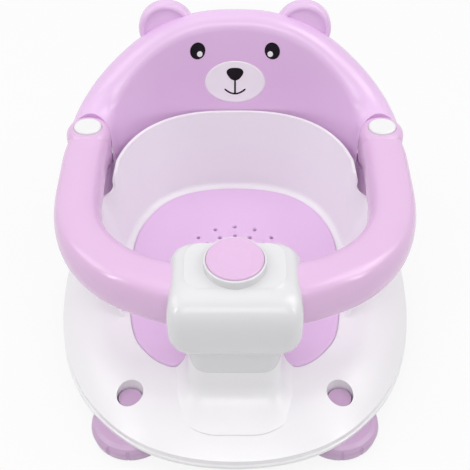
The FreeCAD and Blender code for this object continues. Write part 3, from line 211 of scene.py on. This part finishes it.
# noise scales are clouds, ripple and grain, and bump is in millimetres
kinds = {
    "plastic": {"scales": (9.0, 45.0, 2600.0), "grainShare": 0.12, "bump": 0.01, "shader": {"IOR": 1.5}},
    "clear": {"scales": (30.0, 120.0, 1800.0), "grainShare": 0.2, "bump": 0.05,
              "shader": {"IOR": 1.5, "Transmission Weight": 0.55}},
    "screw": {"scales": (400.0, 900.0, 6000.0), "grainShare": 0.5, "bump": 0.02, "shader": {"Metallic": 1.0}},
    "wire": {"scales": (500.0, 1400.0, 8000.0), "grainShare": 0.4, "bump": 0.01, "shader": {"Metallic": 1.0}},
    "darkInk": {"scales": (80.0, 200.0, 3000.0), "grainShare": 0.3, "bump": 0.02, "shader": {"IOR": 1.2}},
    "paleInk": {"scales": (80.0, 200.0, 3000.0), "grainShare": 0.3, "bump": 0.02, "shader": {"IOR": 1.45}},
    "muzzleInk": {"scales": (60.0, 200.0, 3000.0), "grainShare": 0.3, "bump": 0.02, "shader": {"IOR": 1.45}},
}

# colour, colour of the clouds in it, and the least and most roughness
finishes = {
    "whiteShell": ("plastic", (0.915, 0.902, 0.922), (0.905, 0.892, 0.912), (0.30, 0.34)),
    # the head's white is the shell's white plastic set darker: painted shade for the head's front
    "shadedWhiteHead": ("plastic", (0.78, 0.775, 0.795), (0.77, 0.765, 0.785), (0.16, 0.19)),
    "whiteButton": ("plastic", (0.86, 0.86, 0.865), (0.85, 0.85, 0.855), (0.22, 0.26)),
    # backrest and guard share one lilac plastic: the backrest's copy is lighter as painted light for its
    # inner face, the guard's darker as painted shade on the arms
    "brightenedLilacBackrest": ("plastic", (0.835, 0.575, 0.865), (0.825, 0.565, 0.855), (0.235, 0.265)),
    "shadedLilacGuard": ("plastic", (0.78, 0.515, 0.775), (0.77, 0.505, 0.765), (0.17, 0.20)),
    "lilacPaw": ("plastic", (0.59, 0.40, 0.60), (0.58, 0.39, 0.59), (0.32, 0.38)),
    "slideGrey": ("plastic", (0.60, 0.60, 0.62), (0.57, 0.57, 0.59), (0.38, 0.46)),
    "clearSoft": ("clear", (0.80, 0.80, 0.84), (0.77, 0.77, 0.81), (0.16, 0.24)),
    "screwSteel": ("screw", (0.60, 0.605, 0.62), (0.50, 0.50, 0.52), (0.29, 0.38)),
    "springSteel": ("wire", (0.52, 0.525, 0.55), (0.42, 0.42, 0.45), (0.285, 0.36)),
    "faceInk": ("darkInk", (0.010, 0.007, 0.012), (0.014, 0.010, 0.016), (0.34, 0.42)),
    "faceWhite": ("paleInk", (0.95, 0.95, 0.95), (0.94, 0.94, 0.94), (0.34, 0.42)),
    "faceMuzzle": ("muzzleInk", (0.97, 0.93, 0.98), (0.96, 0.92, 0.97), (0.34, 0.42)),
}
# the mat's pit colour is a darker copy of its colour, painted shade for the cells' pits
softFinish = {"color": (0.825, 0.575, 0.86), "pitShade": (0.79, 0.54, 0.825), "cells": 1400.0, "dents": 28.0,
              "bump": 0.06, "shader": {"IOR": 1.45, "Sheen Weight": 0.15, "Sheen Roughness": 0.5}}


def opaque(color):
    return color + (1,)


def makeMoulded(name, kind, color, cloudColor, gloss):
    look = kinds[kind]
    cloudScale, rippleScale, grainScale = look["scales"]
    values = {"Color": opaque(color), "Cloud Color": opaque(cloudColor),
              "Cloud Scale": cloudScale, "Ripple Scale": rippleScale, "Grain Scale": grainScale,
              "Gloss Low": gloss[0], "Gloss High": gloss[1], "Grain Share": look["grainShare"]}
    return newMaterial(name, mouldedSkin, values, look["shader"], look["bump"])


def makeSoft(name, look):
    values = {"Color": opaque(look["color"]), "Pit Shade Color": opaque(look["pitShade"]),
              "Cell Scale": look["cells"], "Dent Scale": look["dents"]}
    return newMaterial(name, foamCells, values, look["shader"], look["bump"])


materials = {name: makeMoulded(name, *finish) for name, finish in finishes.items()}
materials["softMat"] = makeSoft("softMat", softFinish)
print("materials:", len(materials))

finishOf = {"seat_base": "whiteShell", "latch_post": "whiteShell", "head_cover": "shadedWhiteHead",
            "head_neck": "shadedWhiteHead", "left_release_button": "whiteButton",
            "right_release_button": "whiteButton", "backrest": "brightenedLilacBackrest",
            "front_button": "shadedLilacGuard", "seat_pad": "softMat", "front_latch": "slideGrey",
            "left_latch": "slideGrey", "right_latch": "slideGrey"}
finishByEnd = {"_shell": "shadedLilacGuard", "_screws": "screwSteel", "_spring": "springSteel"}
finishByStart = {"suction": "clearSoft", "foot": "lilacPaw"}


def finishFor(name):
    if name in finishOf:
        return finishOf[name]
    for end, finish in finishByEnd.items():
        if name.endswith(end):
            return finish
    for start, finish in finishByStart.items():
        if name.startswith(start):
            return finish
    raise KeyError("no finish for " + name)


for name, node in nodes.items():
    node.data.materials.clear()
    node.data.materials.append(materials[finishFor(name)])
print("finishes set")


# printed face on the backrest: heights and widths in millimetres as seen from the front
face = {
    "muzzle": {"z": 175.5, "halfWidth": 29.2, "halfHeight": 23.1, "rings": 16, "segments": 96},
    "eye": {"x": 35.5, "z": 210.0, "halfWidth": 7.3, "halfHeight": 8.95, "lean": 6},
    "glint": {"x": 33.6, "z": 206.7, "halfWidth": 2.6, "halfHeight": 3.0},
    "nose": {"z": 185.0, "halfWidth": 7.9, "halfHeight": 6.9, "corners": 0.09},
    "line": {"top": 180.0, "bottom": 162.9, "halfThick": 0.88},
    "smile": {"halfWidth": 10.3, "top": 168.2, "bottom": 162.6, "halfThick": 0.88},
    "lift": 0.12,  # first layer over the backrest
    "step": 0.14,  # each layer over the one below
    "thick": 0.1,
    "castFrom": 50.0,  # Y in front of the backrest's inner side
    "rings": 10,  # in a spot, from its rim to its middle
    "segments": 64,  # round a spot
    "steps": 40,  # along a stroke
    "nudge": 0.001,  # share of a stroke, ahead and back, that gives its direction
    "endPower": 24,  # higher makes a stroke's rounded ends shorter
    "endLeast": 0.02,  # share of the width left at its tips
}

backrestSkin = BVHTree.FromObject(nodes["backrest"], bpy.context.evaluated_depsgraph_get())


def layOnBackrest(bm, lift):
    for vert in bm.verts:
        start = Vector((vert.co.x * mm, face["castFrom"] * mm, vert.co.z * mm))
        spot, normal = backrestSkin.ray_cast(start, Vector((0, 1, 0)))[:2]
        if normal.y > 0:
            normal = -normal
        vert.co = spot + normal * (lift * mm)


def finishPrint(bm, name, level, look):
    layOnBackrest(bm, face["lift"] + face["step"] * level)
    bmesh.ops.recalc_face_normals(bm, faces=bm.faces)
    if sum(f.normal.y * f.calc_area() for f in bm.faces) > 0:  # a print faces the front
        bmesh.ops.reverse_faces(bm, faces=bm.faces)
    bmesh.ops.solidify(bm, geom=bm.faces[:], thickness=face["thick"] * mm)
    mesh = bpy.data.meshes.new(name)
    bm.to_mesh(mesh)
    bm.free()
    for polygon in mesh.polygons:
        polygon.use_smooth = True
    mesh.materials.append(materials[look])
    piece = addObject(name, mesh)
    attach(piece, "seat")


# rings of quads round a small middle, so that the print follows the curved wall
def printedSpot(name, level, look, shape, side=1):
    bm = bmesh.new()
    bmesh.ops.create_circle(bm, segments=shape.get("segments", face["segments"]), radius=1.0)
    rim = bm.edges[:]
    for ring in range(shape.get("rings", face["rings"]) - 1, 0, -1):
        grown = bmesh.ops.extrude_edge_only(bm, edges=rim)["geom"]
        inner = [item for item in grown if isinstance(item, bmesh.types.BMVert)]
        rim = [item for item in grown if isinstance(item, bmesh.types.BMEdge)
               and all(vert in inner for vert in item.verts)]
        bmesh.ops.scale(bm, vec=Vector((ring / (ring + 1),) * 3), verts=inner)
    bmesh.ops.contextual_create(bm, geom=rim)
    bmesh.ops.poke(bm, faces=[f for f in bm.faces if len(f.verts) > 4])
    middle = shape.get("x", 0.0) * side
    lean = math.radians(shape.get("lean", 0)) * side
    corners = shape.get("corners", 0.0)
    for vert in bm.verts:
        turn = math.atan2(vert.co.y, vert.co.x)
        swell = 1 + corners * math.cos(3 * (turn + math.pi / 2))  # three corners, one at the bottom
        across = vert.co.x * swell * shape["halfWidth"]
        up = vert.co.y * swell * shape["halfHeight"]
        vert.co = Vector((middle + across * math.cos(lean) - up * math.sin(lean), 0,
                          shape["z"] + across * math.sin(lean) + up * math.cos(lean)))
    finishPrint(bm, name, level, look)


def printedStroke(name, level, look, halfThick, route):
    bm = bmesh.new()
    bmesh.ops.create_grid(bm, x_segments=face["steps"], y_segments=2, size=1.0)
    for vert in bm.verts:
        share = (vert.co.x + 1) / 2
        ahead = route(share + face["nudge"]) - route(share - face["nudge"])
        across = Vector((-ahead.z, 0, ahead.x)).normalized()
        roundEnd = math.sqrt(max(0.0, 1 - abs(vert.co.x) ** face["endPower"]))
        taper = min(1.0, roundEnd + face["endLeast"])
        vert.co = route(share) + across * (vert.co.y * halfThick * taper)
    finishPrint(bm, name, level, look)


def noseLine(share):
    line = face["line"]
    return Vector((0, 0, line["top"] + (line["bottom"] - line["top"]) * share))


def smileLine(share):
    smile = face["smile"]
    side = 2 * share - 1
    rise = (smile["top"] - smile["bottom"]) * side ** 2
    return Vector((side * smile["halfWidth"], 0, smile["bottom"] + rise))


def makeFace():
    printedSpot("face_muzzle", 0, "faceMuzzle", face["muzzle"])
    printedSpot("face_nose", 1, "faceInk", face["nose"])
    printedStroke("face_nose_line", 1, "faceInk", face["line"]["halfThick"], noseLine)
    printedStroke("face_smile", 1, "faceInk", face["smile"]["halfThick"], smileLine)
    for label, side in (("left", -1), ("right", 1)):
        printedSpot("face_eye_" + label, 0, "faceInk", face["eye"], side)
        printedSpot("face_glint_" + label, 1, "faceWhite", face["glint"], side)


makeFace()
print("face printed")


# seat mat: the CAD pad in even cells, its edges softened
mat = {"joinGap": 0.01, "cell": 1.1, "softening": 0.5, "rounds": 4}


def makeMat():
    piece = addObject("seat_mat", joinedCopy("seat_pad", "seatMat", mat["joinGap"]))
    grid = piece.modifiers.new("cells", "REMESH")
    grid.mode = "VOXEL"
    grid.voxel_size = mat["cell"] * mm
    grid.use_smooth_shade = True
    soften = piece.modifiers.new("soften", "SMOOTH")
    soften.factor = mat["softening"]
    soften.iterations = mat["rounds"]
    bpy.context.view_layer.update()
    softened = piece.evaluated_get(bpy.context.evaluated_depsgraph_get())
    made = bpy.data.meshes.new_from_object(softened)
    piece.modifiers.clear()
    piece.data = made
    made.materials.clear()
    made.materials.append(materials["softMat"])
    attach(piece, "seat")
    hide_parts("seat_pad")
    print("seat mat:", len(made.polygons), "faces")


makeMat()


# latch springs: each coil is a joined copy of its CAD spring, carried by the guard
spring = {"joinGap": 0.001, "travel": 4.0, "ways": {"front": 1, "left": -1, "right": -1}}


def makeSpring(label):
    node = label + "_latch_spring"
    piece = addObject(label + "_latch_coil", joinedCopy(node, label + "Coil", spring["joinGap"]))
    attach(piece, "guard")
    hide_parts(node)
    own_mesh(piece)


for label, way in spring["ways"].items():
    makeSpring(label)
print("springs made")


# floor, world, lamps and camera, in metres; the gleams show in reflections only
ground = {"half": 12.0, "color": (0.80, 0.80, 0.805), "glow": 0.88}  # glow: share seen as plain white
sky = {"horizon": 0.17, "zenith": 1.0}  # strength of the light from each
lamps = {
    "key": {"spot": (-0.35, 0.1, 1.8), "size": (0.9, 0.9), "watts": 2.2},
    "front": {"spot": (0.0, -1.05, 1.2), "size": (1.2, 0.6), "watts": 2.7},
    "left": {"spot": (-1.1, 0.0, 1.1), "size": (0.7, 0.7), "watts": 3.7},
    "right": {"spot": (1.1, 0.0, 1.1), "size": (0.7, 0.7), "watts": 3.7},
    "frontGleam": {"spot": (0.0, -1.05, 1.2), "size": (1.0, 0.35), "watts": 5.0},
    "leftGleam": {"spot": (-0.95, -0.55, 0.75), "size": (0.12, 0.6), "watts": 2.2},
    "rightGleam": {"spot": (0.95, -0.55, 0.75), "size": (0.12, 0.6), "watts": 2.2},
    "topGleam": {"spot": (0.75, 0.05, 1.4), "size": (0.6, 0.6), "watts": 3.4},
}
view = {"spot": (0.0, -0.8052, 0.9182), "target": (0.0, 0.008, 0.105), "lens": 94.7, "sensor": 36.0,
        "near": 0.05, "far": 20.0}
plainWhite = {"Color": (1, 1, 1, 1), "Strength": 1.0}


# 1 for rays that see a surface straight, mirrored or through glass, 0 for rays that light it
def seenDirectly(tree, spot):
    x, y = spot
    path = addNode(tree, "ShaderNodeLightPath", spot).outputs
    mirrored = maths(tree, (x + 200, y), "MAXIMUM", path["Is Camera Ray"], path["Is Glossy Ray"])
    return maths(tree, (x + 400, y), "MAXIMUM", mirrored, path["Is Transmission Ray"])


def mixShaders(tree, spot, share, first, second):
    mix = addNode(tree, "ShaderNodeMixShader", spot)
    tree.links.new(share, mix.inputs["Fac"])
    tree.links.new(first, mix.inputs[1])
    tree.links.new(second, mix.inputs[2])
    return mix.outputs["Shader"]


def makeWorld():
    world = bpy.data.worlds.new("studio")
    tree = emptyTree(world)
    out = addNode(tree, "ShaderNodeOutputWorld", (600, 0))
    where = addNode(tree, "ShaderNodeTexCoord", (-700, 300))
    split = addNode(tree, "ShaderNodeSeparateXYZ", (-500, 300))
    dim = addNode(tree, "ShaderNodeBackground", (100, 100), values={"Color": plainWhite["Color"]})
    white = addNode(tree, "ShaderNodeBackground", (100, -100), values=plainWhite)
    tree.links.new(where.outputs["Generated"], split.inputs["Vector"])
    strength = remap(tree, (-200, 300), split.outputs["Z"], sky["horizon"], sky["zenith"], (0.0, 1.0))
    tree.links.new(strength, dim.inputs["Strength"])
    both = mixShaders(tree, (350, 0), seenDirectly(tree, (-600, 0)),
                      dim.outputs["Background"], white.outputs["Background"])
    tree.links.new(both, out.inputs["Surface"])
    bpy.context.scene.world = world


def makeFloor():
    bm = bmesh.new()
    bmesh.ops.create_grid(bm, x_segments=1, y_segments=1, size=ground["half"])
    mesh = bpy.data.meshes.new("floor")
    bm.to_mesh(mesh)
    bm.free()
    material = bpy.data.materials.new("paleFloor")
    tree = emptyTree(material)
    out = addNode(tree, "ShaderNodeOutputMaterial", (600, 0))
    paint = addNode(tree, "ShaderNodeBsdfDiffuse", (0, 100), values={"Color": opaque(ground["color"])})
    glow = addNode(tree, "ShaderNodeEmission", (0, -100), values=plainWhite)
    share = maths(tree, (0, 300), "MULTIPLY", seenDirectly(tree, (-600, 300)), ground["glow"])
    both = mixShaders(tree, (300, 0), share, paint.outputs["BSDF"], glow.outputs["Emission"])
    tree.links.new(both, out.inputs["Surface"])
    mesh.materials.append(material)
    floor = addObject("floor", mesh)


def aimAtSeat(thing):
    towards = Vector(view["target"]) - thing.location
    thing.rotation_euler = towards.to_track_quat("-Z", "Y").to_euler()


def makeLamp(name, look):
    data = bpy.data.lights.new(name, "AREA")
    data.shape = "RECTANGLE"
    data.size, data.size_y = look["size"]
    data.energy = look["watts"]
    lamp = addObject(name, data)
    lamp.location = look["spot"]
    lamp.visible_diffuse = not name.endswith("Gleam")
    aimAtSeat(lamp)


def makeCamera():
    data = bpy.data.cameras.new("camera")
    data.lens = view["lens"]
    data.sensor_width = view["sensor"]
    data.clip_start = view["near"]
    data.clip_end = view["far"]
    camera = addObject("camera", data)
    camera.location = view["spot"]
    aimAtSeat(camera)
    bpy.context.scene.camera = camera


makeWorld()
makeFloor()
for name, look in lamps.items():
    makeLamp(name, look)
makeCamera()
bpy.context.scene.view_settings.view_transform = "Standard"
print("stage, light and camera ready")
